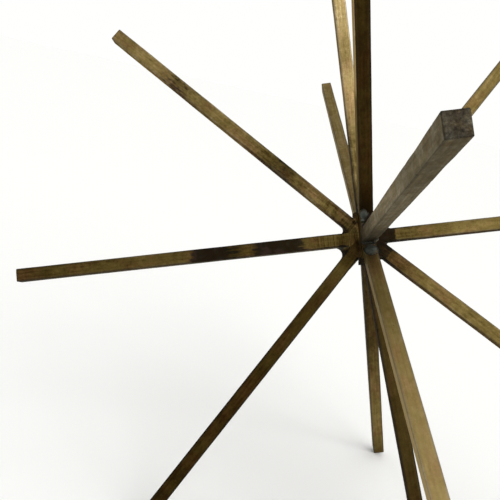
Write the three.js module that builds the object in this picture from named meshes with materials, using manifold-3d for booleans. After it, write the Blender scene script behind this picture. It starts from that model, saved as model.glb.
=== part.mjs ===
// Star tree topper: fourteen square brass bars brazed together at one centre.
//
// The bars make two flat eight-pointed stars that cross at a right angle. The
// face star stands across the view and the side star stands end on to it. The
// top and the bottom spoke belong to both. The star has no stand: it rests on
// the tips of its lower left, bottom and lower back spokes.
//
// Each spoke is one straight bar with a square-cut tip. The brazed hub is the
// filed mass of bar roots and braze metal that all the spokes spring from.
//
// Millimetres and degrees, +Z up. The origin is under the middle of the seated
// star, on the surface that it stands on.

import * as THREE from 'three';
import { mergeVertices } from 'three/addons/utils/BufferGeometryUtils.js';
import Module from 'manifold-3d';

const wasm = await Module();
wasm.setup();

// The bar stock
const bar_width = 5;
const bar_edge_radius = 0.35;
const tip_chamfer = 0.3;

// The star
const spoke_length = 137;
const hub_reach = 10.7;
const crotch_fillet = 1.5;
const corner_bead = 0.9;
const joint_gap = 0.3;

// Smoothness of the round parts, in straight pieces to each arc
const edge_steps = 3;
const fillet_steps = 8;
const lump_steps = 12;

// Corners closer than this are one corner, and directions are one direction
const weld_distance = 1e-4;
const same_direction = 1e-9;

// The face star, turning from the right-hand spoke towards the top one. Lean is
// how far the maker brazed the spoke past its even place, and stray is how far
// it points behind the star's own plane. Short is what its tip lacks, or what
// it has to spare where that is below zero.
const face_star = [
  { name: 'spoke_right', lean: -0.2, stray: 0, short: 0 },
  { name: 'spoke_upper_right', lean: 0, stray: 0, short: 0 },
  { name: 'spoke_top', lean: -0.6, stray: 0, short: 0 },
  { name: 'spoke_upper_left', lean: -1.3, stray: 0, short: 7 },
  { name: 'spoke_left', lean: -0.2, stray: 0, short: 0 },
  { name: 'spoke_lower_left', lean: 0.3, stray: -0.2, short: 0 },
  { name: 'spoke_bottom', lean: 3.3, stray: 0, short: 0 },
  { name: 'spoke_lower_right', lean: 0.7, stray: 0, short: 0 },
];

// The side star, turning from the back spoke towards the top one. Its top and
// bottom places are taken by the face star's own spokes, so they have no name.
// Stray is how far a spoke points to the right of the side star's plane.
const side_star = [
  { name: 'spoke_back', lean: 0, stray: 0, short: 0 },
  { name: 'spoke_upper_back', lean: 0, stray: 0, short: 0 },
  { name: null, lean: 0, stray: 0, short: 0 },
  { name: 'spoke_upper_front', lean: 0, stray: 0, short: 0 },
  { name: 'spoke_front', lean: 0, stray: 0.3, short: -6 },
  { name: 'spoke_lower_front', lean: 0.2, stray: 0.5, short: 0 },
  { name: null, lean: 0, stray: 0, short: 0 },
  { name: 'spoke_lower_back', lean: 0, stray: 1.6, short: 0 },
];

// The lumps of solder that run out of a crotch along a spoke's side, each with
// the spoke it lies on and the neighbour that this side looks towards.
const solder_lumps = [
  { spoke: 'spoke_upper_front', towards: 'spoke_front', length: 7.6, width: 4.4, rise: 1.5 },
  { spoke: 'spoke_lower_front', towards: 'spoke_front', length: 5.6, width: 4.2, rise: 1.4 },
];

// The spokes whose tips the star stands on, and the one that points along +X
const feet = ['spoke_lower_left', 'spoke_bottom', 'spoke_lower_back'];
const right_hand_spoke = 'spoke_right';

const right = new THREE.Vector3(1, 0, 0);
const away = new THREE.Vector3(0, 1, 0);
const up = new THREE.Vector3(0, 0, 1);

// Patinated brass, from the brightest bar to the darkest, and the solder
const brass_looks = {
  gold: { color: 0xb09a5c, roughness: 0.42, metalness: 0.9 },
  olive: { color: 0x8a7c46, roughness: 0.5, metalness: 0.85 },
  brown: { color: 0x6b5a34, roughness: 0.55, metalness: 0.8 },
  dark: { color: 0x4a3d22, roughness: 0.6, metalness: 0.75 },
};
const spoke_looks = {
  spoke_top: 'gold',
  spoke_right: 'gold',
  spoke_upper_left: 'gold',
  spoke_lower_right: 'gold',
  spoke_upper_front: 'dark',
  spoke_lower_left: 'brown',
  spoke_bottom: 'brown',
};

function makeMaterial(look) {
  return new THREE.MeshStandardMaterial(brass_looks[look]);
}

// The direction of one spoke of a star that lies in the plane of first and
// second, pointing stray degrees out of it along normal.
function spokeDirection(star, index, first, second, normal) {
  const even_step = 360 / star.length;
  const turn = THREE.MathUtils.degToRad(index * even_step + star[index].lean);
  const stray = THREE.MathUtils.degToRad(star[index].stray);
  return new THREE.Vector3()
    .addScaledVector(first, Math.cos(turn) * Math.cos(stray))
    .addScaledVector(second, Math.sin(turn) * Math.cos(stray))
    .addScaledVector(normal, Math.sin(stray));
}

// The square section of the bar with its four rolled edges
function barSection(width, edge_radius) {
  const flat = width / 2 - edge_radius;
  const section = new THREE.Shape();
  for (let corner = 0; corner < 4; corner += 1) {
    const start = corner * Math.PI / 2;
    const middle = start + Math.PI / 4;
    const x = flat * Math.SQRT2 * Math.cos(middle);
    const y = flat * Math.SQRT2 * Math.sin(middle);
    section.absarc(x, y, edge_radius, start, start + Math.PI / 2, false);
  }
  section.closePath();
  return section;
}

// A bar along +Z from one height to another, with a chamfer round its tip. Of the
// extrusion's three rings the middle one is pulled up to where the chamfer begins.
function barGeometry(width, from, to, chamfer) {
  const length = to - from;
  const geometry = new THREE.ExtrudeGeometry(barSection(width, bar_edge_radius), {
    depth: length,
    steps: 2,
    bevelEnabled: false,
    curveSegments: edge_steps,
  });
  const position = geometry.attributes.position;
  const tip_share = 1 - 2 * chamfer / width;
  for (let i = 0; i < position.count; i += 1) {
    const ring = Math.round(2 * position.getZ(i) / length);
    if (ring === 2) {
      position.setX(i, position.getX(i) * tip_share);
      position.setY(i, position.getY(i) * tip_share);
    } else if (ring === 1) {
      position.setZ(i, length - chamfer);
    }
  }
  geometry.translate(0, 0, from);
  return geometry;
}

// Turns +Z to the spoke's direction, with one side of the bar facing normal
function spokeTurn(direction, normal) {
  const side = new THREE.Vector3().crossVectors(normal, direction).normalize();
  const face = new THREE.Vector3().crossVectors(direction, side);
  const turn = new THREE.Matrix4().makeBasis(side, face, direction);
  return new THREE.Quaternion().setFromRotationMatrix(turn);
}

// Every spoke that is made: its name, its direction, how it is turned and its length
function listSpokes() {
  const spokes = [];
  const add = (star, index, first, second, normal) => {
    const direction = spokeDirection(star, index, first, second, normal);
    spokes.push({
      name: star[index].name,
      direction,
      turn: spokeTurn(direction, normal),
      length: spoke_length - star[index].short,
    });
  };
  face_star.forEach((spoke, index) => add(face_star, index, right, up, away));
  side_star.forEach((spoke, index) => {
    if (spoke.name) {
      add(side_star, index, away, up, right);
    }
  });
  return spokes;
}

// The outline of one star's hub: a stub as wide as the bar for each spoke, with
// a concave fillet in each crotch that touches the sides of both neighbours.
function hubOutline(star) {
  const half = bar_width / 2;
  const count = star.length;
  const turns = star.map((spoke, index) => {
    return THREE.MathUtils.degToRad(index * 360 / count + spoke.lean);
  });
  const outline = new THREE.Shape();
  turns.forEach((turn, index) => {
    const next = index + 1 < count ? turns[index + 1] : turns[0] + 2 * Math.PI;
    const half_gap = (next - turn) / 2;
    const centre = (half + crotch_fillet) / Math.sin(half_gap);
    const along = new THREE.Vector2(Math.cos(turn), Math.sin(turn)).multiplyScalar(hub_reach);
    const aside = new THREE.Vector2(-Math.sin(turn), Math.cos(turn)).multiplyScalar(half);
    if (index === 0) {
      outline.moveTo(along.x - aside.x, along.y - aside.y);
    } else {
      outline.lineTo(along.x - aside.x, along.y - aside.y);
    }
    outline.lineTo(along.x + aside.x, along.y + aside.y);
    outline.absarc(
      centre * Math.cos(turn + half_gap),
      centre * Math.sin(turn + half_gap),
      crotch_fillet,
      turn - Math.PI / 2,
      next + Math.PI / 2 - 2 * Math.PI,
      true,
    );
  });
  outline.closePath();
  return outline;
}

// The lowest point above the centre that a fillet beside the upright spoke of
// this star reaches. The braze in the inner corners stops there.
function crotchHeight(star) {
  const count = star.length;
  const top = count / 4;
  const bottom = 3 * count / 4;
  const heights = [top - 1, top, bottom - 1, bottom].map((index) => {
    const turn = THREE.MathUtils.degToRad(index * 360 / count + star[index].lean);
    const next = THREE.MathUtils.degToRad((index + 1) * 360 / count + star[index + 1].lean);
    const centre = (bar_width / 2 + crotch_fillet) / Math.sin((next - turn) / 2);
    return centre * Math.abs(Math.sin((turn + next) / 2)) - crotch_fillet;
  });
  return Math.min(...heights);
}

function flatStar(star) {
  const geometry = new THREE.ExtrudeGeometry(hubOutline(star), {
    depth: bar_width,
    bevelEnabled: false,
    curveSegments: fillet_steps,
  });
  geometry.translate(0, 0, -bar_width / 2);
  return geometry;
}

// Braze run into one upright inner corner where the two stars cross
function beadGeometry(height) {
  const corner = bar_width / 2;
  const outer = corner + corner_bead;
  const root = corner - corner_bead;
  const section = new THREE.Shape();
  section.moveTo(root, root);
  section.lineTo(outer, root);
  section.lineTo(outer, corner);
  section.absarc(outer, outer, corner_bead, -Math.PI / 2, -Math.PI, true);
  section.lineTo(root, outer);
  section.closePath();
  const geometry = new THREE.ExtrudeGeometry(section, {
    depth: 2 * height,
    bevelEnabled: false,
    curveSegments: fillet_steps,
  });
  geometry.translate(0, 0, -height);
  return geometry;
}

// How far along a spoke the bottom of its crotch with a neighbour lies
function crotchDistance(spoke, neighbour) {
  const half_gap = spoke.direction.angleTo(neighbour.direction) / 2;
  const centre = (bar_width / 2 + crotch_fillet) / Math.sin(half_gap);
  return (centre - crotch_fillet) * Math.cos(half_gap);
}

// A rounded lump of solder that starts at the bottom of a crotch and lies half
// sunk in the side of its spoke.
function lumpGeometry(lump, spokes) {
  const spoke = spokes.find((candidate) => candidate.name === lump.spoke);
  const neighbour = spokes.find((candidate) => candidate.name === lump.towards);
  const aside = neighbour.direction.clone()
    .addScaledVector(spoke.direction, -neighbour.direction.dot(spoke.direction))
    .normalize();
  const across = new THREE.Vector3().crossVectors(spoke.direction, aside);
  const along = crotchDistance(spoke, neighbour) + lump.length / 2;
  const geometry = new THREE.SphereGeometry(1, lump_steps, lump_steps / 2);
  geometry.scale(lump.width / 2, lump.rise, lump.length / 2);
  geometry.translate(0, bar_width / 2, along);
  geometry.applyMatrix4(new THREE.Matrix4().makeBasis(across.negate(), aside, spoke.direction));
  return geometry;
}

// A closed solid for cutting and joining, with shared corners merged
function toSolid(geometry) {
  const bare = geometry.clone();
  bare.deleteAttribute('normal');
  bare.deleteAttribute('uv');
  const merged = mergeVertices(bare, weld_distance);
  return new wasm.Manifold(new wasm.Mesh({
    numProp: 3,
    vertProperties: new Float32Array(merged.attributes.position.array),
    triVerts: new Uint32Array(merged.index.array),
  }));
}

function toGeometry(solid) {
  const mesh = solid.getMesh();
  const geometry = new THREE.BufferGeometry();
  geometry.setAttribute('position', new THREE.BufferAttribute(new Float32Array(mesh.vertProperties), 3));
  geometry.setIndex(new THREE.BufferAttribute(new Uint32Array(mesh.triVerts), 1));
  geometry.computeVertexNormals();
  return geometry;
}

// The hub: both flat stars, the braze in their inner corners and the lumps,
// less the room that each spoke takes with its gap.
function hubGeometry(spokes) {
  const face = flatStar(face_star);
  face.rotateX(Math.PI / 2);
  const side = flatStar(side_star);
  side.rotateX(Math.PI / 2);
  side.rotateZ(Math.PI / 2);
  let hub = toSolid(face).add(toSolid(side));

  const bead_height = Math.min(crotchHeight(face_star), crotchHeight(side_star));
  for (let corner = 0; corner < 4; corner += 1) {
    const bead = beadGeometry(bead_height);
    bead.rotateZ(corner * Math.PI / 2);
    hub = hub.add(toSolid(bead));
  }
  for (const lump of solder_lumps) {
    hub = hub.add(toSolid(lumpGeometry(lump, spokes)));
  }
  for (const spoke of spokes) {
    const room = barGeometry(bar_width + 2 * joint_gap, hub_reach, spoke.length, tip_chamfer);
    room.applyQuaternion(spoke.turn);
    hub = hub.subtract(toSolid(room));
  }
  return toGeometry(hub);
}

function buildStar() {
  const star = new THREE.Group();
  const spokes = listSpokes();
  for (const spoke of spokes) {
    const geometry = barGeometry(bar_width, hub_reach + joint_gap, spoke.length, tip_chamfer);
    const mesh = new THREE.Mesh(geometry, makeMaterial(spoke_looks[spoke.name] ?? 'olive'));
    mesh.name = spoke.name;
    mesh.quaternion.copy(spoke.turn);
    star.add(mesh);
  }
  const hub = new THREE.Mesh(hubGeometry(spokes), makeMaterial('brown'));
  hub.name = 'brazed_hub';
  star.add(hub);
  return star;
}

// Every corner of a mesh, in the star's own axes
function cornersOf(mesh) {
  mesh.updateMatrix();
  const position = mesh.geometry.attributes.position;
  const corners = [];
  for (let i = 0; i < position.count; i += 1) {
    corners.push(new THREE.Vector3().fromBufferAttribute(position, i).applyMatrix4(mesh.matrix));
  }
  return corners;
}

// Square to the plane through the lowest corner of each foot, and pointing down
function squareToFeet(foot_corners, down) {
  const lowest = foot_corners.map((corners) => {
    return corners.reduce((best, corner) => (corner.dot(down) > best.dot(down) ? corner : best));
  });
  const edge_one = lowest[1].clone().sub(lowest[0]);
  const edge_two = lowest[2].clone().sub(lowest[0]);
  const square = edge_one.cross(edge_two).normalize();
  return square.dot(lowest[0]) > 0 ? square : square.negate();
}

// The downward direction, in the star's axes, when it stands on its three feet.
// It is found again until the same three corners stay the lowest.
function findDown(star) {
  const foot_corners = feet.map((name) => cornersOf(star.getObjectByName(name)));
  let down = up.clone().negate();
  let next = squareToFeet(foot_corners, down);
  while (next.distanceTo(down) > same_direction) {
    down = next;
    next = squareToFeet(foot_corners, down);
  }
  return down;
}

// Stands the star on its feet, turned so that its right-hand spoke is over +X,
// and moves it until its box is centred over the origin.
function seatStar(star) {
  const world_up = findDown(star).negate();
  const spoke = star.getObjectByName(right_hand_spoke);
  const pointing = up.clone().applyQuaternion(spoke.quaternion);
  const world_away = new THREE.Vector3().crossVectors(world_up, pointing).normalize();
  const world_right = new THREE.Vector3().crossVectors(world_away, world_up);
  const star_from_world = new THREE.Matrix4().makeBasis(world_right, world_away, world_up);
  star.quaternion.setFromRotationMatrix(star_from_world.transpose());
  star.updateMatrixWorld(true);
  const box = new THREE.Box3().setFromObject(star, true);
  const middle = box.getCenter(new THREE.Vector3());
  star.position.set(-middle.x, -middle.y, -box.min.z);
}

const group = new THREE.Group();
const star = buildStar();
seatStar(star);
group.add(star);

export default group;
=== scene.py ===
import bpy
import numpy as np
from mathutils import Matrix


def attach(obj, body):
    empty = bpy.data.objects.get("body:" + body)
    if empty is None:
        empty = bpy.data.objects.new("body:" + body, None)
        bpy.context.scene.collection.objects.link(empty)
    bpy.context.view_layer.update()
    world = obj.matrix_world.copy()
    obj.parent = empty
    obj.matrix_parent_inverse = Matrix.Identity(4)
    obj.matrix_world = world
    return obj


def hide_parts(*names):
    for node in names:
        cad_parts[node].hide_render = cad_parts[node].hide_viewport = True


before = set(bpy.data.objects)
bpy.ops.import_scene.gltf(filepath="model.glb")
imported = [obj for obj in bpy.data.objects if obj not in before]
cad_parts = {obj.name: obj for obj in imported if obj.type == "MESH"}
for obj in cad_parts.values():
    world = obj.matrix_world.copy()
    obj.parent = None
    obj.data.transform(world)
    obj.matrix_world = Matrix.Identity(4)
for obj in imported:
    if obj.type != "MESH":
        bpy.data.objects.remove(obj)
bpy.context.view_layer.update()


# The viewpoint: a camera held close to the star and a little above its centre,
# looking slightly down and tipped over, so that the near spokes spread wide.
mm = 0.001
view_from = np.array((-47.92, -239.88, 169.59)) * mm
view_heading = np.radians(1.335)
view_pitch = np.radians(-15.044)
view_roll = np.radians(12.768)
view_lens = 46.8
view_near = 1 * mm

camera_forward = np.array((
    np.sin(view_heading) * np.cos(view_pitch),
    np.cos(view_heading) * np.cos(view_pitch),
    np.sin(view_pitch),
))
level_right = np.array((np.cos(view_heading), -np.sin(view_heading), 0.0))
level_up = np.cross(level_right, camera_forward)
camera_right = np.cos(view_roll) * level_right + np.sin(view_roll) * level_up
camera_up = np.cos(view_roll) * level_up - np.sin(view_roll) * level_right


def turned_and_placed(right, up, back, place):
    """The matrix that turns an object's own X, Y and Z axes to right, up and back and moves it to
    a place. The three axes and the place are its columns."""
    columns = np.column_stack([right, up, back, place])
    return Matrix([*columns.tolist(), (0, 0, 0, 1)])


camera = bpy.data.objects.new("camera", bpy.data.cameras.new("camera"))
camera.data.lens = view_lens
camera.data.clip_start = view_near
camera.matrix_world = turned_and_placed(camera_right, camera_up, -camera_forward, view_from)
bpy.context.scene.collection.objects.link(camera)
bpy.context.scene.camera = camera


# The table: one plain pale round board, matt and very slightly uneven in tone,
# wide enough that its rim is lost in the pale room behind it.
def add_node(tree, kind, feeds=None, **settings):
    """One shader node. Feeds gives each input, by name or number, a socket to link or a plain value."""
    node = tree.nodes.new(kind)
    for name, value in settings.items():
        setattr(node, name, value)
    for socket, value in (feeds or {}).items():
        if isinstance(value, bpy.types.NodeSocket):
            tree.links.new(value, node.inputs[socket])
        else:
            node.inputs[socket].default_value = value
    return node


def maths(tree, operation, first, second=0.0, third=0.0, clamp=False):
    """The value socket of one Math node."""
    feeds = {0: first, 1: second, 2: third}
    return add_node(tree, "ShaderNodeMath", feeds, operation=operation, use_clamp=clamp).outputs[0]


def rgb(red, green, blue):
    """A colour that is given as it looks on screen, 0 to 255, as the linear values that shaders take."""
    share = np.array((red, green, blue)) / 255
    linear = np.where(share <= 0.04045, share / 12.92, ((share + 0.055) / 1.055) ** 2.4)
    return (*(float(value) for value in linear), 1.0)


def noise(tree, place, scale, detail, roughness=0.55, distortion=0.0):
    """The value, 0 to 1, of a noise texture."""
    return add_node(tree, "ShaderNodeTexNoise", {
        "Vector": place,
        "Scale": scale,
        "Detail": detail,
        "Roughness": roughness,
        "Distortion": distortion,
    }).outputs["Fac"]


def blend(tree, share, first, second):
    """The colour that goes from the first to the second as the share goes from 0 to 1."""
    feeds = {"Factor": share, 6: first, 7: second}
    return add_node(tree, "ShaderNodeMix", feeds, data_type="RGBA").outputs[2]


def new_mesh_object(name, points, faces):
    """A mesh object at the origin from arrays of points in metres and of faces."""
    mesh = bpy.data.meshes.new(name)
    mesh.from_pydata(points.tolist(), [], [list(face) for face in faces])
    mesh.shade_smooth()
    piece = bpy.data.objects.new(name, mesh)
    bpy.context.scene.collection.objects.link(piece)
    return piece


table_radius = 6.0
table_sides = 96
table_tone = rgb(250, 250, 248)
table_cloud_tone = rgb(240, 239, 237)
table_cloudiness = 0.08

turn = np.linspace(0, 2 * np.pi, table_sides, endpoint=False)
rim = np.stack([np.cos(turn), np.sin(turn), np.zeros(table_sides)], axis=1) * table_radius
table = new_mesh_object("table", rim, [range(table_sides)])

table_paint = bpy.data.materials.new("table_paint")
table_paint.use_nodes = True
tree = table_paint.node_tree
place = add_node(tree, "ShaderNodeTexCoord").outputs["Object"]
cloud_share = maths(tree, "MULTIPLY", noise(tree, place, 3.0, 3.0, 0.5), table_cloudiness)
shader = tree.nodes["Principled BSDF"]
tree.links.new(blend(tree, cloud_share, table_tone, table_cloud_tone), shader.inputs["Base Color"])
shader.inputs["Roughness"].default_value = 0.85
shader.inputs["Specular IOR Level"].default_value = 0.2
table.data.materials.append(table_paint)


# The light: a pale room with a broad soft light high in front on the right and
# an even one overhead. Both are far away, so the table is equally pale all over.
def blend_values(tree, share, first, second):
    """The value that goes from the first to the second as the share goes from 0 to 1."""
    return add_node(tree, "ShaderNodeMix", {"Factor": share, 2: first, 3: second}).outputs[0]


room_tone = rgb(255, 255, 254)
room_brightness = 1.0
room_glow = 0.4

world = bpy.data.worlds.new("room")
world.use_nodes = True
bpy.context.scene.world = world
tree = world.node_tree
background = tree.nodes["Background"]
background.inputs["Color"].default_value = room_tone
seen = add_node(tree, "ShaderNodeLightPath").outputs["Is Camera Ray"]
tree.links.new(blend_values(tree, seen, room_glow, room_brightness), background.inputs["Strength"])
bpy.context.scene.view_settings.view_transform = "Standard"

# Heading, height and spread are in degrees: which way a lamp stands from the star,
# to the right of the front, how high, and how wide its light is.
lamps = [
    {"name": "lamp_front", "heading": 35, "height": 42, "spread": 50, "strength": 1.3},
    {"name": "lamp_above", "heading": 160, "height": 78, "spread": 100, "strength": 1.25},
]
for lamp in lamps:
    light = bpy.data.lights.new(lamp["name"], "SUN")
    light.angle = np.radians(lamp["spread"])
    light.energy = lamp["strength"]
    heading = np.radians(lamp["heading"])
    height = np.radians(lamp["height"])
    back = np.array((np.sin(heading), -np.cos(heading), np.tan(height)))
    back = back / np.linalg.norm(back)
    side = np.cross((0.0, 0.0, 1.0), back)
    side = side / np.linalg.norm(side)
    over = np.cross(back, side)
    holder = bpy.data.objects.new(lamp["name"], light)
    holder.matrix_world = turned_and_placed(side, over, back, back)
    bpy.context.scene.collection.objects.link(holder)


# The fourteen bars: straight square brass bar, sawn square and brazed to the hub
# at one end. Age has turned them every shade from pale gold to brown black.
def read_array(items, key, width):
    """One property of all of a mesh's points or faces, one row each."""
    values = np.empty(len(items) * width)
    items.foreach_get(key, values)
    return values.reshape(-1, width)


# Two directions are square to each other where their dot product is below this
square_enough = 0.01


def read_bar(name):
    """A bar's line and faces, from its solid. Its two biggest faces that stand square to each
    other give two normals, their cross product the bar's direction, and the middle of its
    reach along each normal a point on its centre line."""
    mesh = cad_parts[name].data
    corners = read_array(mesh.vertices, "co", 3)
    normals = read_array(mesh.polygons, "normal", 3)
    areas = read_array(mesh.polygons, "area", 1)[:, 0]
    first = normals[np.argmax(areas)]
    square = np.where(np.abs(normals @ first) < square_enough, areas, 0)
    second = normals[np.argmax(square)]
    along = np.cross(first, second)
    axes = np.array([first, second, along])
    reach = corners @ axes.T
    middle = (reach.min(axis=0) + reach.max(axis=0)) / 2
    return {
        "name": name,
        "normals": [first, second],
        "along": along,
        "point": middle[0] * first + middle[1] * second + middle[2] * along,
        "half": float(np.ptp(reach[:, 0]) / 2 / mm),
        "corners": corners,
    }


spokes = {name: read_bar(name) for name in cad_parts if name.startswith("spoke_")}

# Every centre line meets the others at the star's centre. The point nearest to
# all of them solves sum(I - d d') c = sum(I - d d') a, for lines a + t d.
square_out = [np.eye(3) - np.outer(spoke["along"], spoke["along"]) for spoke in spokes.values()]
moved = [away @ spoke["point"] for away, spoke in zip(square_out, spokes.values())]
centre = np.linalg.solve(sum(square_out), sum(moved))
for spoke in spokes.values():
    if spoke["along"] @ (spoke["point"] - centre) < 0:
        spoke["along"] = -spoke["along"]
    spoke["length"] = float(((spoke["corners"] - centre) @ spoke["along"]).max() / mm)

# The two crossed stars' own axes: across to the right, away from the viewer and up
star_away = spokes["spoke_back"]["along"]
star_right = spokes["spoke_right"]["along"]
star_right = star_right - (star_right @ star_away) * star_away
star_right = star_right / np.linalg.norm(star_right)
star_up = np.cross(star_right, star_away)
face_star = [
    "spoke_right", "spoke_upper_right", "spoke_top", "spoke_upper_left",
    "spoke_left", "spoke_lower_left", "spoke_bottom", "spoke_lower_right",
]
side_star = [
    "spoke_back", "spoke_upper_back", "spoke_top", "spoke_upper_front",
    "spoke_front", "spoke_lower_front", "spoke_bottom", "spoke_lower_back",
]
for spoke in spokes.values():
    star_normal = star_away if spoke["name"] in face_star else star_right
    flat = max(spoke["normals"], key=lambda normal: abs(normal @ star_normal))
    spoke["flat"] = flat * np.sign(flat @ star_normal)
    spoke["edgewise"] = np.cross(spoke["flat"], spoke["along"])


# Big odd numbers that scramble a grid corner's place into a random whole number
# below random_steps
corner_scramblers = np.array((374761393, 668265263, 1274126177))
seed_scrambler = 362437
last_scrambler = 1911520717
random_steps = 2 ** 16


def soft_noise(points, size, seed):
    """Smooth random values from -1 to 1: a whole number scrambled from each corner of a grid of
    cells of the given size, blended across the cell by 3t^2 - 2t^3 along each axis."""
    grid = points / size
    cell = np.floor(grid).astype(np.int64)
    part = grid - cell
    part = part * part * (3 - 2 * part)
    total = np.zeros(len(points))
    for corner in range(8):
        step = np.array([corner >> axis & 1 for axis in range(3)])
        key = (cell + step) @ corner_scramblers + seed * seed_scrambler
        key = (key ^ key >> 13) * last_scrambler
        key = (key ^ key >> 16) & (random_steps - 1)
        weight = np.prod(np.where(step == 1, part, 1 - part), axis=1)
        total += weight * (2 * key / (random_steps - 1) - 1)
    return total


def unevenness(points, by, over, seed):
    """Soft random heights and hollows of up to a given size, that change over a given length."""
    return by * soft_noise(points, over, seed)


def ramp(value, low, high):
    """0 below low, 1 above high and 3t^2 - 2t^3 between."""
    share = np.clip((value - low) / (high - low), 0, 1)
    return share * share * (3 - 2 * share)


# In millimetres, from the star's centre: each bar starts at root_depth, sunk into the
# braze by root_sink, and is at its full width from root_full on.
root_depth = 7.3
root_full = 8.6
root_sink = 0.12
bar_edge_radius = 0.35
tip_chamfer = 0.28
tip_rings = 4
ring_step = 0.45
crotch_radius = 1.5
corner_points = 5
flat_points = 8
bar_sides = 4 * (corner_points + flat_points)

# What drawing, sawing and handling have left uneven: by how many millimetres, over
# what length, and the seed of its pattern. Arris wear is a share of the edge's
# radius, and dents come where their pattern is above dent_start. Each bar's patterns
# start further on than the last one's, so that no two bars are alike.
arris_wear = {"by": 0.45, "over": 11.0, "seed": 3}
slow_wander = {"by": 0.035, "over": 14.0, "seed": 5}
quick_wander = {"by": 0.018, "over": 3.4, "seed": 7}
dent_size = 2.3
dent_seed = 11
dent_depth = 0.16
dent_start = 0.52
dent_full = 0.95
saw_marks = {"by": 0.05, "over": 1.6, "seed": 13}
end_wear = 0.04
arris_patterns_apart = 37.0
face_patterns_apart = 50.0


def bar_profile():
    """The square section as a path of (inner corner share, outward direction). A point of the
    section is share * (half - radius) + direction * radius, so one path does for every radius:
    along a flat the share slides between two corners, and round a corner the direction turns."""
    shares = []
    directions = []
    for corner in range(4):
        start = corner * np.pi / 2
        turns = start + np.linspace(0, np.pi / 2, corner_points)
        here = np.sign([np.cos(start + np.pi / 4), np.sin(start + np.pi / 4)])
        there = np.array((-here[1], here[0]))
        slide = np.linspace(0, 1, flat_points + 2)[1:-1, None]
        shares += [np.tile(here, (corner_points, 1)), here + (there - here) * slide]
        directions += [
            np.stack([np.cos(turns), np.sin(turns)], axis=1),
            np.tile([np.cos(turns[-1]), np.sin(turns[-1])], (flat_points, 1)),
        ]
    return np.concatenate(shares), np.concatenate(directions)


def bar_surface(spoke, number):
    """The bar's surface: the section carried out along the centre line, p(s, t) = s d + c(t)
    (half - r(s)) + n(t) r(s), sunk by up to root_sink at its root, drawn in by the chamfer at
    its tip and closed by shrinking the end rings to a point. The faces wander by a few
    hundredths of a millimetre and the edges carry small dents."""
    shares, directions = bar_profile()
    length = spoke["length"]
    rings = int((length - root_depth) / ring_step)
    run = np.linspace(root_depth, length - tip_chamfer, rings)
    tip_turn = np.linspace(0, np.pi / 2, tip_rings + 1)[1:]
    tip_run = length - tip_chamfer + tip_chamfer * np.sin(tip_turn)
    tip_inset = tip_chamfer * (1 - np.cos(tip_turn))
    cap_share = np.array((0.85, 0.6, 0.3))
    cap_rings = len(cap_share) + 1
    root_inset = root_sink * (1 - ramp(run, root_depth, root_full))
    along = np.concatenate([[root_depth], run, tip_run, np.full(cap_rings, length)])
    inset = np.concatenate([[0], root_inset, tip_inset, np.full(cap_rings, tip_chamfer)])
    shrink = np.concatenate([[0], np.ones(rings + tip_rings), cap_share, [0]])
    own_place = np.full_like(along, arris_patterns_apart * number)
    line = np.stack([along, np.zeros_like(along), own_place], axis=1)
    radius = bar_edge_radius * (1 + unevenness(line, **arris_wear))
    half = spoke["half"] - inset
    flat = shares[None] * (half - radius)[:, None, None] + directions[None] * radius[:, None, None]
    local = np.concatenate([
        np.broadcast_to(along[:, None, None], (len(along), bar_sides, 1)),
        flat * shrink[:, None, None],
    ], axis=2).reshape(-1, 3)
    outward = np.broadcast_to(directions, (len(along), bar_sides, 2)).reshape(-1, 2)
    seeded = local + np.array((0.0, 0.0, face_patterns_apart * number))
    on_body = np.repeat(shrink == 1, bar_sides)
    on_edge = np.tile(np.abs(directions).min(axis=1) > 0.05, len(along))
    wander = unevenness(seeded, **slow_wander) + unevenness(seeded, **quick_wander)
    dented = ramp(soft_noise(seeded, dent_size, dent_seed), dent_start, dent_full)
    dent = dent_depth * dented * on_edge
    push = np.where(on_body, wander - dent, 0)
    local[:, 1:] += outward * push[:, None]
    on_end = np.repeat(along > length - tip_chamfer / 2, bar_sides)
    local[:, 0] += np.where(on_end, unevenness(seeded, **saw_marks) - end_wear, 0)
    axes = np.array([spoke["along"], spoke["flat"], spoke["edgewise"]])
    points = centre + local @ axes * mm
    ring = np.arange(len(along) - 1)[:, None] * bar_sides
    step = np.arange(bar_sides)
    following = (step + 1) % bar_sides
    quads = np.stack([
        ring + step, ring + following, ring + bar_sides + following, ring + bar_sides + step,
    ], axis=2).reshape(-1, 4)
    return points, quads, local, outward


def close_poles(points, quads, sides, *fields):
    """Joins the first ring into one point and the last ring into another, and the quads that
    touch them into triangles. Fields are arrays with one row a point, and are cut alike."""
    count = len(points)
    keep = np.concatenate([[0], np.arange(sides, count - sides), [count - sides]])
    target = np.arange(count)
    target[:sides] = 0
    target[count - sides:] = count - sides
    new_number = np.zeros(count, int)
    new_number[keep] = np.arange(len(keep))
    quads = new_number[target[quads]]
    faces = []
    first = quads[:sides]
    last = quads[-sides:]
    faces += first[:, [0, 2, 3]].tolist()
    faces += quads[sides:-sides].tolist()
    faces += last[:, [0, 1, 2]].tolist()
    return points[keep], faces, [field[keep] for field in fields]


def give_values(piece, name, values):
    """Stores one number, or one vector, for each point of the piece's mesh."""
    kind, key = ("FLOAT", "value") if values.ndim == 1 else ("FLOAT_VECTOR", "vector")
    layer = piece.data.attributes.new(name, kind, "POINT")
    layer.data.foreach_set(key, values.astype(np.float32).ravel())


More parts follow.
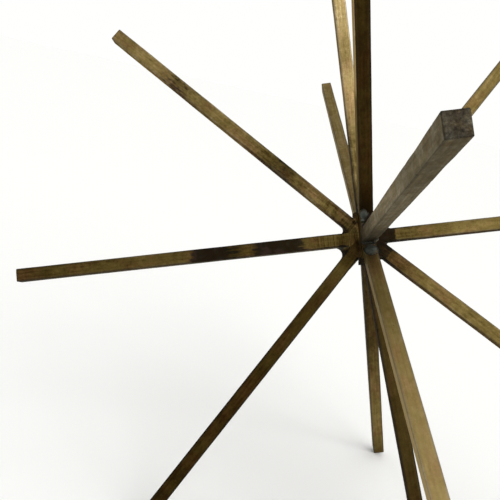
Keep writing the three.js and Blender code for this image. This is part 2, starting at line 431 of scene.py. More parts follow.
# How each bar has aged. Shade runs from 0, brown black, to 1, pale gold, at a few
# distances from the centre in millimetres. The sides are painted light and shade: how
# much lighter or darker each of its four faces is painted for the way the light falls
# on it, the side that faces back or right, the one that faces front or left, then the
# clockwise side, as seen from the front or left, and the other. Root is how far out
# heat and flux have darkened it and how much of that shows in front, filing how marked
# the file left its front, bloom how grey a film lies on it and grain how mottled it is.
# Patches are clouds of dark oxide, mostly in front: distance, reach and strength.
# The painted sheen is a painted reflection: from where the left side is painted paler, and by how much.
bar_ageing = {
    "spoke_upper_left": {
        "finish": "golden_brass",
        "shade": [(9, 0.3), (16, 0.36), (22, 0.45), (30, 0.41), (38, 0.32), (46, 0.3), (54, 0.37), (62, 0.49),
                  (78, 0.51), (86, 0.42), (94, 0.44), (102, 0.54), (116, 0.63), (126, 0.5), (133, 0.42)],
        "sides": (0.0, 0.0, -0.1, -0.1),
        "root": (9, 0.0),
        "filing": 0.35,
        "bloom": 0.05,
        "grain": 1.5,
        "patches": [(42, 7, 0.34), (97, 8, 0.34)],
    },
    "spoke_left": {
        "finish": "olive_brass",
        "shade": [(9, 0.3), (12, 0.31), (24, 0.34), (46, 0.25), (54, 0.23), (76, 0.32), (86, 0.36),
                  (100, 0.29), (140, 0.26)],
        "sides": (0.0, 0.0, -0.12, -0.2),
        "root": (9, 0.0),
        "filing": 0.6,
        "bloom": 0.0,
        "grain": 0.9,
        "patches": [(34.4, 8.4, 1.1), (25.6, 3.2, 0.36), (61.0, 6.2, 1.1), (52.4, 5.2, 0.42)],
    },
    "spoke_lower_left": {
        "finish": "brown_brass",
        "shade": [(9, 0.2), (12, 0.25), (16, 0.33), (24, 0.25), (40, 0.2), (60, 0.18), (140, 0.15)],
        "sides": (0.0, 0.0, -0.05, -0.08),
        "root": (9, 0.1),
        "filing": 0.2,
        "bloom": 0.0,
        "grain": 0.6,
        "patches": [(31, 4, 0.12)],
    },
    "spoke_upper_back": {
        "finish": "olive_brass",
        "shade": [(10, 0.34), (40, 0.38), (56, 0.37), (64, 0.4), (140, 0.41)],
        "sides": (0.0, 0.0, 0.0, -0.1),
        "root": (8, 0.2),
        "filing": 0.0,
        "bloom": 0.25,
        "grain": 0.8,
        "patches": [],
    },
    "spoke_top": {
        "finish": "golden_brass",
        "shade": [(10, 0.32), (30, 0.41), (38, 0.41), (46, 0.56), (56, 0.75), (62, 0.77), (70, 0.65),
                  (80, 0.68), (90, 0.78), (140, 0.84)],
        "sides": (0.0, 0.0, -0.3, -0.2),
        "root": (9, 0.3),
        "filing": 0.0,
        "bloom": 0.1,
        "grain": 1.5,
        "patches": [],
    },
    "spoke_upper_front": {
        "finish": "blackened_brass",
        "shade": [(10, 0.05), (18, 0.09), (28, 0.15), (54, 0.16), (70, 0.14), (140, 0.16)],
        "sides": (0.15, 0.17, 0.0, 0.1),
        "painted_sheen_from": (60, 0.38),
        "root": (13, 0.8),
        "filing": 0.0,
        "bloom": 0.0,
        "grain": 0.45,
        "patches": [],
    },
    "spoke_front": {
        "finish": "olive_brass",
        "shade": [(10, 0.22), (36, 0.26), (46, 0.38), (86, 0.42), (108, 0.34), (140, 0.32)],
        "sides": (0.0, 0.02, -0.06, -0.05),
        "root": (9, 0.3),
        "filing": 0.0,
        "bloom": 0.85,
        "grain": 1.2,
        "patches": [(106, 7, 0.2)],
    },
    "spoke_right": {
        "finish": "golden_brass",
        "shade": [(9, 0.28), (11.5, 0.33), (13, 0.29), (22, 0.35), (34, 0.41), (140, 0.43)],
        "sides": (0.0, 0.0, -0.2, -0.12),
        "root": (10.2, 1.0),
        "filing": 0.1,
        "bloom": 0.05,
        "grain": 0.9,
        "patches": [],
    },
    "spoke_lower_right": {
        "finish": "golden_brass",
        "shade": [(9, 0.22), (16, 0.29), (24, 0.4), (32, 0.43), (140, 0.45)],
        "sides": (0.0, 0.0, -0.12, -0.14),
        "root": (10.2, 0.75),
        "filing": 0.1,
        "bloom": 0.05,
        "grain": 0.95,
        "patches": [],
    },
    "spoke_lower_front": {
        "finish": "olive_brass",
        "shade": [(10, 0.3), (22, 0.39), (38, 0.38), (60, 0.5), (100, 0.59), (140, 0.62)],
        "sides": (0.0, 0.04, 0.0, 0.0),
        "root": (8, 0.4),
        "filing": 0.0,
        "bloom": 0.1,
        "grain": 0.55,
        "patches": [],
    },
    "spoke_bottom": {
        "finish": "brown_brass",
        "shade": [(10, 0.18), (54, 0.24), (70, 0.22), (80, 0.2), (140, 0.23)],
        "sides": (0.0, 0.0, -0.05, -0.08),
        "root": (9, 0.6),
        "filing": 0.0,
        "bloom": 0.05,
        "grain": 0.5,
        "patches": [],
    },
    "spoke_lower_back": {
        "finish": "olive_brass",
        "shade": [(10, 0.2), (54, 0.22), (66, 0.29), (78, 0.36), (94, 0.42), (118, 0.44),
                  (128, 0.36), (140, 0.3)],
        "sides": (0.0, -0.2, 0.0, 0.0),
        "root": (9, 0.6),
        "filing": 0.0,
        "bloom": 0.1,
        "grain": 0.85,
        "patches": [],
    },
    "spoke_back": {
        "finish": "olive_brass",
        "shade": [(10, 0.26), (140, 0.4)],
        "sides": (0.0, 0.0, -0.05, -0.05),
        "root": (10, 0.6),
        "filing": 0.0,
        "bloom": 0.1,
        "grain": 0.8,
        "patches": [(60, 9, 0.5)],
    },
    "spoke_upper_right": {
        "finish": "olive_brass",
        "shade": [(10, 0.28), (60, 0.42), (140, 0.36)],
        "sides": (0.0, 0.0, -0.05, -0.05),
        "root": (9.5, 0.8),
        "filing": 0.2,
        "bloom": 0.1,
        "grain": 0.8,
        "patches": [(48, 8, 0.5)],
    },
}


def new_group(name, inputs, outputs):
    """An empty shader node group with named input and output sockets."""
    group = bpy.data.node_groups.new(name, "ShaderNodeTree")
    for direction, sockets in (("INPUT", inputs), ("OUTPUT", outputs)):
        for label, kind in sockets.items():
            group.interface.new_socket(label, in_out=direction, socket_type="NodeSocket" + kind)
    start = group.nodes.new("NodeGroupInput")
    end = group.nodes.new("NodeGroupOutput")
    return group, start.outputs, end.inputs


def scaled(tree, place, along, across):
    """A place vector multiplied by one number along the bar and another across it."""
    feeds = {0: place, 1: (along, across, across)}
    return add_node(tree, "ShaderNodeVectorMath", feeds, operation="MULTIPLY").outputs[0]


def stretch(tree, value, low, high, to_low=0.0, to_high=1.0):
    """The part of a value from low to high spread over to_low to to_high, clamped."""
    return add_node(tree, "ShaderNodeMapRange", {
        0: value,
        1: low,
        2: high,
        3: to_low,
        4: to_high,
    }).outputs[0]


def colour_ramp(tree, value, stops):
    """A colour that changes with a value through stops of (value, screen colour)."""
    node = add_node(tree, "ShaderNodeValToRGB", {0: value})
    elements = node.color_ramp.elements
    for element, (position, colour) in zip(elements, (stops[0], stops[-1])):
        element.position = position
        element.color = rgb(*colour)
    for position, colour in stops[1:-1]:
        elements.new(position).color = rgb(*colour)
    return node.outputs[0]


# Aged brass, for every bar and for the hub. Place is in millimetres, with its first
# axis along the bar. Shade is how bright the metal has stayed, with the painted light
# and shade of each face added, stain how much oxide lies on it and how much darker the
# arrises are near the hub, edge how near the arris is, and filing, bloom and grain are
# as above.
brass, given, out = new_group(
    "aged brass",
    {
        "Place": "Vector", "Shade": "Float", "Stain": "Float",
        "Edge": "Float", "Filing": "Float", "Bloom": "Float", "Grain": "Float",
    },
    {"Colour": "Color", "Roughness": "Float", "Metallic": "Float", "Height": "Float"},
)
drawn = noise(brass, scaled(brass, given["Place"], 0.05, 1.5), 1.0, 4.0)
cloudy = noise(brass, given["Place"], 0.24, 6.0, 0.62, 0.4)
mottled = noise(brass, scaled(brass, given["Place"], 0.55, 1.1), 1.0, 5.0, 0.65)
speckled = noise(brass, given["Place"], 3.4, 3.0, 0.7)
tinted = noise(brass, scaled(brass, given["Place"], 0.35, 0.8), 0.3, 3.0)
filed = noise(brass, scaled(brass, given["Place"], 2.6, 0.16), 1.0, 2.0, 0.6)

# How much each pattern lightens and darkens the metal
marks = 0.0
for pattern, strength in ((cloudy, 0.34), (drawn, 0.3), (mottled, 0.28), (speckled, 0.3)):
    about_zero = maths(brass, "SUBTRACT", pattern, 0.5)
    marks = maths(brass, "MULTIPLY_ADD", about_zero, strength, marks)
file_cut = maths(brass, "MULTIPLY", maths(brass, "SUBTRACT", filed, 0.5), given["Filing"])
marks = maths(brass, "MULTIPLY_ADD", file_cut, 0.7, marks)
uneven = maths(brass, "MULTIPLY_ADD", marks, given["Grain"], given["Shade"])
# The arrises are a little darker, in mottled patches.
arris_darkening = maths(brass, "MULTIPLY", given["Edge"], stretch(brass, mottled, 0.3, 0.6))
uneven = maths(brass, "MULTIPLY_ADD", arris_darkening, -0.07, uneven, clamp=True)
streaked = maths(brass, "MULTIPLY_ADD", drawn, 1.7, maths(brass, "MULTIPLY", mottled, 1.3))
spread = stretch(brass, maths(brass, "ADD", streaked, given["Stain"]), 1.75, 2.1)
spread = maths(brass, "MULTIPLY", spread, stretch(brass, given["Stain"], 0.02, 0.3))

olive = colour_ramp(brass, uneven, [
    (0.0, (20, 14, 7)), (0.12, (46, 33, 10)), (0.25, (78, 63, 27)), (0.4, (114, 97, 51)),
    (0.62, (156, 134, 79)), (0.82, (196, 169, 108)), (1.0, (236, 214, 160)),
])
warm = colour_ramp(brass, uneven, [
    (0.0, (22, 13, 7)), (0.12, (52, 32, 9)), (0.25, (82, 59, 30)), (0.4, (118, 92, 53)),
    (0.62, (160, 130, 82)), (0.82, (200, 165, 110)), (1.0, (238, 206, 158)),
])
grey = colour_ramp(brass, uneven, [
    (0.0, (20, 18, 16)), (0.25, (74, 70, 60)), (0.4, (106, 100, 86)), (1.0, (226, 214, 190)),
])
bare = blend(brass, stretch(brass, tinted, 0.48, 0.68), olive, warm)
film = maths(brass, "MULTIPLY", given["Bloom"], stretch(brass, cloudy, 0.35, 0.6, 0.6, 1.2))
filmed = blend(brass, film, bare, grey)
soot_cloud = maths(brass, "MULTIPLY_ADD", tinted, 0.5, maths(brass, "MULTIPLY", cloudy, 0.5))
soot = colour_ramp(brass, soot_cloud, [
    (0.4, (22, 24, 17)), (0.47, (36, 24, 15)), (0.52, (31, 28, 21)), (0.6, (52, 40, 35)),
])
stained = blend(brass, maths(brass, "MULTIPLY", spread, 0.93), filmed, soot)
pitted = add_node(brass, "ShaderNodeTexVoronoi", {"Vector": given["Place"], "Scale": 0.62})
pit = stretch(brass, pitted.outputs["Distance"], 0.10, 0.2, 1.0, 0.0)
pit = maths(brass, "MULTIPLY", pit, stretch(brass, cloudy, 0.58, 0.64))
pit_tone = rgb(30, 22, 14)
brass.links.new(blend(brass, maths(brass, "MULTIPLY", pit, 0.6), stained, pit_tone), out["Colour"])
dulled = maths(brass, "MULTIPLY_ADD", uneven, -0.26, 0.6)
dulled = maths(brass, "MULTIPLY_ADD", maths(brass, "SUBTRACT", speckled, 0.5), 0.2, dulled)
brass.links.new(maths(brass, "MULTIPLY_ADD", spread, 0.1, dulled, clamp=True), out["Roughness"])
brass.links.new(stretch(brass, uneven, 0.0, 0.4, 0.86, 1.0), out["Metallic"])
height = maths(brass, "MULTIPLY_ADD", drawn, 0.3, maths(brass, "MULTIPLY", speckled, 0.35))
height = maths(brass, "MULTIPLY_ADD", mottled, 0.3, height)
height = maths(brass, "MULTIPLY_ADD", file_cut, 1.2, height)
brass.links.new(maths(brass, "MULTIPLY_ADD", pit, -0.8, height), out["Height"])


def attribute(tree, name, output="Fac"):
    """The socket of one of the mesh's own point values."""
    return add_node(tree, "ShaderNodeAttribute", attribute_name=name).outputs[output]


def brass_material(name, relief, edge_tint):
    """A material that puts the aged brass on a bar, with the bar's own place and ageing. The edge
    tint is how pale the metal turns where it is seen at a slant."""
    material = bpy.data.materials.new(name)
    material.use_nodes = True
    tree = material.node_tree
    skin = add_node(tree, "ShaderNodeGroup", {}, node_tree=brass)
    tree.links.new(attribute(tree, "place", "Vector"), skin.inputs["Place"])
    for value in ("Shade", "Stain", "Edge", "Filing", "Bloom", "Grain"):
        tree.links.new(attribute(tree, value.lower()), skin.inputs[value])
    shader = tree.nodes["Principled BSDF"]
    for made, socket in (("Colour", "Base Color"), ("Roughness", "Roughness"), ("Metallic", "Metallic")):
        tree.links.new(skin.outputs[made], shader.inputs[socket])
    shader.inputs["Specular Tint"].default_value = edge_tint
    bump = add_node(tree, "ShaderNodeBump", {"Distance": relief * mm, "Height": skin.outputs["Height"]})
    tree.links.new(bump.outputs[0], shader.inputs["Normal"])
    return material


bar_relief = 0.05
slant_tints = {
    "golden_brass": rgb(152, 146, 127),
    "olive_brass": rgb(214, 205, 186),
    "brown_brass": rgb(136, 130, 112),
    "blackened_brass": rgb(190, 180, 158),
}
finishes = {name: brass_material(name, bar_relief, tint) for name, tint in slant_tints.items()}
star_front = -star_away

# In millimetres from the centre: the arrises are darkened most up to the first of these
# and not past the second, and the file has cut the faces most up to filing_full and
# hardly past filing_end. Each bar's pattern starts patterns_apart further on.
root_dark_full = 9
root_dark_end = 34
filing_full = 16
filing_end = 26
filing_everywhere = 0.08
patterns_apart = 61.0

# In millimetres off an arris and off the sawn end: where each starts to tell and
# where it tells in full
arris_start = 0.75
arris_full = 0.15
end_start = 0.7
end_full = 0.2
end_darker = 0.1

# A distance for what is nowhere near, and how far past the bars' faces a crotch
# still counts, in millimetres
far_away = 99.0
crotch_spare = 0.8


def webs_near(points):
    """How far each point is from the nearest crotch wall, in millimetres: its distance from the
    middle of the circle that rounds the crotch, less the circle's radius."""
    nearest = np.full(len(points), far_away)
    for names in (face_star, side_star):
        for name, following in zip(names, names[1:] + names[:1]):
            one, two = spokes[name]["along"], spokes[following]["along"]
            middle = one + two
            middle = middle / np.linalg.norm(middle)
            across = (one - two) / np.linalg.norm(one - two)
            gap = np.arccos(one @ two)
            circle = (spokes[name]["half"] + crotch_radius) / np.sin(gap / 2)
            away = np.hypot(points @ middle - circle, points @ across) - crotch_radius
            outside = np.abs(points @ np.cross(middle, across)) > spokes[name]["half"] + crotch_spare
            nearest = np.minimum(nearest, np.where(outside, far_away, away))
    return nearest


def age(name, points, outward, edge):
    """What a bar's ageing gives each point of a surface, by its place from the star's centre in
    millimetres, its outward direction and how near an arris it is."""
    spoke = spokes[name]
    ageing = bar_ageing[name]
    along = points @ spoke["along"]
    out = outward @ spoke["flat"]
    aside = outward @ spoke["edgewise"]
    facing = ramp(np.stack([out, -out, aside, -aside]), 0.5, 0.8)
    # The sides add painted light and shade: each face is painted lighter or darker for how the light falls on
    # it.
    shade = np.interp(along, *np.array(ageing["shade"]).T) + np.array(ageing["sides"]) @ facing
    front_face = ramp(outward @ star_front, 0.3, 0.7)
    left_face = ramp(-(outward @ star_right), 0.3, 0.7)
    forward_face = np.maximum(front_face, left_face)
    # Painted reflection: the left face is painted paler from the given distance on.
    painted_sheen_from, sheen_lift = ageing.get("painted_sheen_from", (0, 0))
    shade = shade + sheen_lift * ramp(along, painted_sheen_from - 3, painted_sheen_from + 3) * left_face
    root, root_front = ageing["root"]
    shown = (1 + (root_front - 1) * front_face) * (1 - 0.8 * left_face)
    stain = 0.8 * ramp(-along, -root - 1.0, -root) * shown
    for distance, reach, strength in ageing["patches"]:
        cloud = strength * np.exp(-((along - distance) / reach) ** 4)
        stain = stain + cloud * (0.3 + 0.7 * forward_face)
    near_root = ramp(-along, -root_dark_end, -root_dark_full)
    # Crotch walls stain the faces beside them, and the arrises near the hub are darker.
    stain = stain + 0.35 * ramp(-webs_near(points), -1.0, -0.1) + 0.45 * near_root * edge
    return {
        "place": points @ np.array([spoke["along"], spoke["flat"], spoke["edgewise"]]).T
        + np.array((patterns_apart * spoke["number"], 0, 0)),
        "shade": shade,
        "stain": stain,
        "edge": edge * (1 - near_root),
        "filing": filing_everywhere
        + ageing["filing"] * ramp(-along, -filing_end, -filing_full) * forward_face,
        "bloom": ageing["bloom"] + 0.4 * edge,
        "grain": np.full(len(points), ageing["grain"]),
    }


for number, (name, ageing) in enumerate(bar_ageing.items()):
    spoke = spokes[name]
    points, quads, local, outward = bar_surface(spoke, number)
    points, faces, (local, outward) = close_poles(points, quads, bar_sides, local, outward)
    bar = new_mesh_object(name.replace("spoke", "bar"), points, faces)
    spoke["number"] = number
    normal = outward @ np.array([spoke["flat"], spoke["edgewise"]])
    off_middle = np.abs(local[:, 1:]).min(axis=1)
    edge = ramp(off_middle, spoke["half"] - arris_start, spoke["half"] - arris_full)
    aged = age(name, (points - centre) / mm, normal, edge)
    sawn_end = ramp(local[:, 0], spoke["length"] - end_start, spoke["length"] - end_full)
    aged["shade"] -= end_darker * sawn_end
    for value, values in aged.items():
        give_values(bar, value, values)
    bar.data.materials.append(finishes[ageing["finish"]])
    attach(bar, "root")
    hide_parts(name)


# The hub: the bar ends meet here under braze metal that fills every crotch and
# inner corner, filed flat with the bars in front, and dark with flux and heat
# elsewhere. Two lumps of grey solder have run out along the near spokes.
hub_reach = 10.3
stub_slimmed = 8.8
stub_sink = 0.06
web_sink = 0.04
arris_radius = 0.25
bead_radius = 0.9
bead_least = 0.05
bead_height = 8.5
bead_fade = 2.0
lump_join = 0.4
hub_step = 0.17
coarse = 4

# How full each crotch is: the radius that rounds it at its front face and at its
# back face. Crotches that aren't named have crotch_radius all through. The radius
# starts to change crotch_front before the front face, and ends at crotch_back, which
# is a share of half the bar's width behind the middle.
crotch_front = 0.3
crotch_back = 0.35
crotch_fill = {
    ("spoke_upper_left", "spoke_left"): (0.3, 1.8),
    ("spoke_left", "spoke_lower_left"): (0.4, 2.6),
    ("spoke_top", "spoke_upper_left"): (0.8, 1.4),
    ("spoke_lower_left", "spoke_bottom"): (1.1, 1.7),
    ("spoke_lower_right", "spoke_right"): (0.25, 1.0),
    ("spoke_bottom", "spoke_lower_right"): (0.1, 0.7),
    ("spoke_upper_front", "spoke_front"): (3.2, 3.2),
}

# The lumps: each runs along one spoke, on the side towards another, and has a start,
# a shift off the middle of that side, and its length, width and rise. The last is
# a bead of braze along an arris, whose colour is painted pale as a highlight.
lumps = [
    {"on": "spoke_upper_front", "towards": "spoke_front",
     "start": 11.2, "aside": -1.2, "size": (4.6, 3.2, 0.9)},
    {"on": "spoke_upper_front", "towards": "spoke_front",
     "start": 10.0, "aside": -1.7, "size": (2.2, 1.6, 0.8)},
    {"on": "spoke_lower_front", "towards": "spoke_front",
     "start": 7.6, "aside": 0.1, "size": (6.0, 5.2, 0.55)},
    {"on": "spoke_lower_front", "towards": "spoke_front",
     "start": 9.2, "aside": 1.2, "size": (3.2, 2.6, 0.65)},
    {"on": "spoke_front", "towards": "spoke_lower_front",
     "start": 7.6, "aside": 2.0, "size": (8.8, 1.7, 0.7)},
]


def rounded_meet(first, second, radius):
    """Distance to what two solids share, its edge rounded: with a = first + r and b = second + r,
    the length of the positive part of (a, b), or their maximum where neither is positive, less r."""
    first = first + radius
    second = second + radius
    out = np.hypot(np.maximum(first, 0), np.maximum(second, 0))
    return out + np.minimum(np.maximum(first, second), 0) - radius


def rounded_join(first, second, radius):
    """Distance to two solids together, with a hollow fillet between them: max(r, min(a, b))
    less the length of the positive part of (r - a, r - b)."""
    hollow = np.hypot(np.maximum(radius - first, 0), np.maximum(radius - second, 0))
    return np.maximum(np.minimum(first, second), radius) - hollow


def stub_distance(points, spoke):
    """Distance to a square stub from the centre out to hub_reach, a little slimmer where its
    own bar takes over from it."""
    along = points @ spoke["along"]
    aside = np.abs(points @ spoke["edgewise"])
    half = spoke["half"] - stub_sink * ramp(along, root_depth, stub_slimmed)
    behind = np.hypot(np.maximum(aside - half, 0), np.minimum(along, 0))
    aside = np.where(along < 0, behind, aside - half)
    square = rounded_meet(aside, np.abs(points @ spoke["flat"]) - half, arris_radius)
    return rounded_meet(square, along - hub_reach, arris_radius)


def web_distance(points, one, two):
    """Distance to the metal between two neighbours. Outside a circle that touches both bars the
    space is filled: r less the distance from the circle's centre, which lies
    (half + r) / sin(gap / 2) out along the line between them. Past the touching points there is
    none."""
    gap = np.arccos(one["along"] @ two["along"])
    middle = one["along"] + two["along"]
    middle = middle / np.linalg.norm(middle)
    normal = one["flat"] + two["flat"] * np.sign(one["flat"] @ two["flat"])
    normal = normal - (normal @ middle) * middle
    normal = normal / np.linalg.norm(normal)
    across = np.cross(normal, middle)
    depth = points @ normal
    front, back = crotch_fill.get((one["name"], two["name"]), (crotch_radius, crotch_radius))
    behind = ramp(depth, -one["half"] - crotch_front, crotch_back * one["half"])
    radius = front + (back - front) * behind
    circle = (one["half"] + radius) / np.sin(gap / 2)
    out = points @ middle
    aside = points @ across
    filled = radius - np.hypot(out - circle, aside)
    between = np.abs(aside) <= out * np.tan(gap / 2)
    touching = circle * np.cos(gap / 2)
    inside = between & (points @ one["along"] < touching) & (points @ two["along"] < touching)
    web = rounded_meet(filled, np.abs(depth) - one["half"] + web_sink, arris_radius)
    return np.where(inside, web, far_away)


def star_distance(points, names, own):
    """Distance to one flat star: the nearest of its own stubs and of the webs between all its
    neighbours."""
    distance = np.full(len(points), far_away)
    for name in own:
        distance = np.minimum(distance, stub_distance(points, spokes[name]))
    for name, following in zip(names, names[1:] + names[:1]):
        distance = np.minimum(distance, web_distance(points, spokes[name], spokes[following]))
    return distance


def lump_shares(points, lump):
    """Where points lie in a lump's own axes, along its bar, out of the bar's side and across it,
    as shares of the lump's half sizes."""
    spoke = spokes[lump["on"]]
    towards = spokes[lump["towards"]]["along"]
    side = towards - (towards @ spoke["along"]) * spoke["along"]
    side = side / np.linalg.norm(side)
    length, width, rise = lump["size"]
    on_line = spoke["along"] * (lump["start"] + length / 2)
    middle = on_line + side * spoke["half"] + spoke["flat"] * lump["aside"]
    local = (points - middle) @ np.array([spoke["along"], side, spoke["flat"]]).T
    return local / np.array((length / 2, rise, width / 2))


def lump_distance(points, lump):
    """Distance to a solder lump: an ellipsoid half sunk in the side of its bar. The distance is
    (|x / radii| - 1) times its smallest radius."""
    return (np.linalg.norm(lump_shares(points, lump), axis=1) - 1) * lump["size"][2]


def hub_distance(points):
    """Distance to the whole hub: the two stars joined by a bead along each upright inner corner,
    and the lumps run on to them. The stars share two stubs, which are counted once."""
    face = star_distance(points, face_star, face_star)
    side = star_distance(points, side_star, [name for name in side_star if name not in face_star])
    height = np.abs(points @ star_up)
    bead = bead_least + bead_radius * ramp(-height, -bead_height, bead_fade - bead_height)
    whole = rounded_join(face, side, bead)
    for lump in lumps:
        whole = rounded_join(whole, lump_distance(points, lump), lump_join)
    return whole


def wrap_surface(distance, low, step):
    """Points and quads of the surface where a sampled distance is zero. Each cell that the
    surface crosses gets one point, the mean of where it crosses the cell's twelve edges, and
    each grid edge that it crosses gets a quad through the four cells around it."""
    inside = distance < 0
    cells = np.array(distance.shape) - 1
    total = np.zeros((*cells, 3), np.float32)
    count = np.zeros(cells, np.float32)
    crossings = []
    for axis in range(3):
        others = [other for other in range(3) if other != axis]
        start = np.moveaxis(distance, axis, 0)[:-1]
        end = np.moveaxis(distance, axis, 0)[1:]
        crossed = (start < 0) != (end < 0)
        share = np.where(crossed, start / np.where(crossed, start - end, 1), 0)
        crossings.append(crossed)
        here = np.moveaxis(total, axis, 0)
        counted = np.moveaxis(count, axis, 0)
        for first in (0, 1):
            for second in (0, 1):
                part = (
                    slice(None),
                    slice(first, first + here.shape[1]),
                    slice(second, second + here.shape[2]),
                )
                here[..., axis] += share[part]
                here[..., others[0]] += crossed[part] * float(first)
                here[..., others[1]] += crossed[part] * float(second)
                counted += crossed[part]
    used = count > 0
    number = np.full(count.shape, -1)
    number[used] = np.arange(used.sum())
    points = (np.argwhere(used) + total[used] / count[used][:, None]) * step + low
    faces = []
    for axis, crossed in enumerate(crossings):
        first, second, third = np.nonzero(crossed[:, 1:-1, 1:-1])
        order = np.moveaxis(number, axis, 0)
        around = np.stack([
            order[first, second, third], order[first, second + 1, third],
            order[first, second + 1, third + 1], order[first, second, third + 1],
        ], axis=1)
        starts_inside = np.moveaxis(inside, axis, 0)[:-1, 1:-1, 1:-1][first, second, third]
        flip = starts_inside == (axis == 1)
        faces.append(np.where(flip[:, None], around[:, ::-1], around))
    return points, np.concatenate(faces)


# The distance is sampled in blocks of coarse by coarse by coarse cells first, and
# finely only in the blocks that the surface may cross. The grid ends a little past
# the stubs and their sides.
past_stub = 0.5
past_sides = 4.0
ends = [spoke["along"] * (hub_reach + past_stub) for spoke in spokes.values()]
ends += [spokes[lump["on"]]["along"] * (lump["start"] + lump["size"][0]) for lump in lumps]
low = np.min(ends, axis=0) - past_sides
blocks = np.ceil((np.max(ends, axis=0) + past_sides - low) / hub_step / coarse).astype(int)


def grid_points(counts, step):
    """The points of a grid with that many steps along each axis, one row each."""
    rows = np.stack(np.meshgrid(*[np.arange(count) for count in counts], indexing="ij"), axis=-1)
    return rows.reshape(-1, 3) * step


block_size = coarse * hub_step
rough = hub_distance(grid_points(blocks, block_size) + low + (block_size - hub_step) / 2)
distance = rough.reshape(blocks)
for axis in range(3):
    distance = np.repeat(distance, coarse, axis=axis)
near = np.abs(distance) < block_size
distance[near] = hub_distance(np.argwhere(near) * hub_step + low)
points, faces = wrap_surface(distance, low, hub_step)


def plain_distance(points):
    """Distance to the bare bars without any braze."""
    return np.min([stub_distance(points, spoke) for spoke in spokes.values()], axis=0)


# The braze has set in ripples, which are fainter where a bar's own metal shows
broad_ripple = {"by": 0.05, "over": 2.4, "seed": 21}
narrow_ripple = {"by": 0.03, "over": 0.9, "seed": 23}
file_hollows = {"by": 0.02, "over": 0.5, "seed": 25}
ripple_on_bars = 0.3
ripple_added = 1.2
braze_depth = 0.3


def lumpy_distance(points):
    """The hub's distance with the ripples of braze that has run and set, and slight hollows
    where the file has passed over it."""
    added = ramp(plain_distance(points), 0.0, braze_depth)
    ripple = unevenness(points, **broad_ripple) + unevenness(points, **narrow_ripple)
    ripple = ripple * (ripple_on_bars + ripple_added * added)
    return hub_distance(points) + ripple + unevenness(points, **file_hollows)


# The points move on to the uneven surface by steps of -f g / |g|^2, where f is their
# distance from it and g its slope
nudge = 0.02
moves = 3
least_steep = 0.3
for _ in range(moves):
    here = lumpy_distance(points)
    slope = np.stack([
        lumpy_distance(points + nudge * axis) - here for axis in np.eye(3)
    ], axis=1) / nudge
    steep = np.maximum((slope ** 2).sum(axis=1), least_steep)
    points = points - slope * np.clip(here / steep, -hub_step, hub_step)[:, None]
slope = slope / np.linalg.norm(slope, axis=1)[:, None]

hub = new_mesh_object("hub", centre + points * mm, faces)

# Each point of the hub has aged as its nearest bar has, and its pattern runs on. On a
# flat, a step inwards or outwards by probe is that far from the surface. Near an
# arris the step inwards is less deep, and in a corner the step outwards less far.
probe = 0.5
least_bend = 0.06
full_bend = 0.3
arris = ramp(hub_distance(points - probe * slope) + probe, least_bend, full_bend)
corner = ramp(probe - hub_distance(points + probe * slope), least_bend, full_bend)
aged = {}
nearest = np.argmin([stub_distance(points, spoke) for spoke in spokes.values()], axis=0)
for index, name in enumerate(spokes):
    own = nearest == index
    for value, values in age(name, points[own], slope[own], arris[own]).items():
        aged.setdefault(value, np.zeros((len(points), *values.shape[1:])))[own] = values

# Braze shows where the surface stands off the bare bars, filed in front and on the
# left of the side star. Each point's place is so many millimetres right, forward and
# up from the centre.
added = ramp(plain_distance(points), 0.02, 0.2)
right = points @ star_right
forward = points @ star_front
up = points @ star_up
front_face = ramp(slope @ star_front, 0.6, 0.9)
left_face = ramp(-(slope @ star_right), 0.6, 0.9) * ramp(right, -5.0, -3.5)
filed_face = np.maximum(front_face, left_face)

# Two inner corners are clean: the one left of the near spokes above the centre, and
# the crotch that can be seen through behind the top spoke.
beside_front = ramp(-right, 1.6, 2.4) * ramp(forward, 1.6, 2.4) * ramp(up, -2.0, 0.5)
behind_top = ramp(-forward, 1.5, 3.0) * ramp(up, 3.0, 5.0)
clean = 0.85 * np.maximum(beside_front, behind_top)
aged["stain"] *= 1 - clean

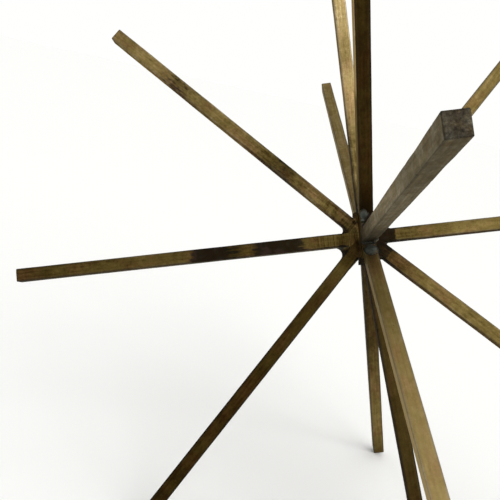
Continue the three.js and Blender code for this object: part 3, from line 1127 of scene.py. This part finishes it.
# The crotch walls are darkest. The filed middle is a little paler in front, darker
# below the centre, and has one small dark blot above and left of it.
wall = added * (1 - filed_face) * (1 - clean)
inner = ramp(-np.linalg.norm(points, axis=1), -8.5, -5.5)
below = ramp(right, -5.2, -3.6) * ramp(-up, -0.5, 2.0) * filed_face
aged["shade"] += inner * (0.05 * front_face - 0.15 * below) - 0.6 * wall * aged["shade"]
aged["stain"] += 0.3 * wall + 0.5 * corner * (1 - clean)
blot_middle = 2.5 * star_front - 3.8 * star_right + 6.1 * star_up
from_blot = np.linalg.norm(points - blot_middle, axis=1)
aged["shade"] -= 0.25 * ramp(-from_blot, -1.4, -0.3)

# Solder covers the lumps and thinly the walls, most of all on their undersides. The
# last lump is the bead of braze, painted pale and grey as a highlight, with no stain on it.
bead_highlight_shade = 0.46
bead_highlight_bloom = 0.7
lumped = []
for lump in lumps:
    shares = lump_shares(points, lump)
    from_middle = np.hypot(shares[:, 0], shares[:, 2])
    lumped.append(ramp(-from_middle, -1.1, -0.45) * ramp(-np.abs(shares[:, 1]), -2.0, -1.3))
bead = lumped.pop()
# Painted highlight: the bead is painted pale and grey.
aged["shade"] += bead * (bead_highlight_shade - aged["shade"])
aged["stain"] *= 1 - bead
aged["bloom"] += bead * (bead_highlight_bloom - aged["bloom"])
underside = ramp(-(slope @ star_up), 0.2, 0.6)
aged["solder"] = np.max(lumped, axis=0) * (1 - bead) + wall * (0.1 + 0.5 * underside)
for value, values in aged.items():
    give_values(hub, value, values)

solder_grey = rgb(80, 85, 79)
solder_dark = rgb(62, 65, 58)
solder_roughness = 0.55
solder_metallic = 0.35
braze_relief = 0.06
braze = brass_material("brazed_joint", braze_relief, slant_tints["olive_brass"])
tree = braze.node_tree
shader = tree.nodes["Principled BSDF"]
solder_share = attribute(tree, "solder")
clouds = noise(tree, attribute(tree, "place", "Vector"), 0.7, 3.0)
solder_tone = blend(tree, stretch(tree, clouds, 0.38, 0.62), solder_dark, solder_grey)
for name, mix, own in (
    ("Base Color", blend, solder_tone),
    ("Roughness", blend_values, solder_roughness),
    ("Metallic", blend_values, solder_metallic),
):
    skin = shader.inputs[name].links[0].from_socket
    tree.links.new(mix(tree, solder_share, skin, own), shader.inputs[name])
hub.data.materials.append(braze)
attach(hub, "root")
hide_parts("brazed_hub")
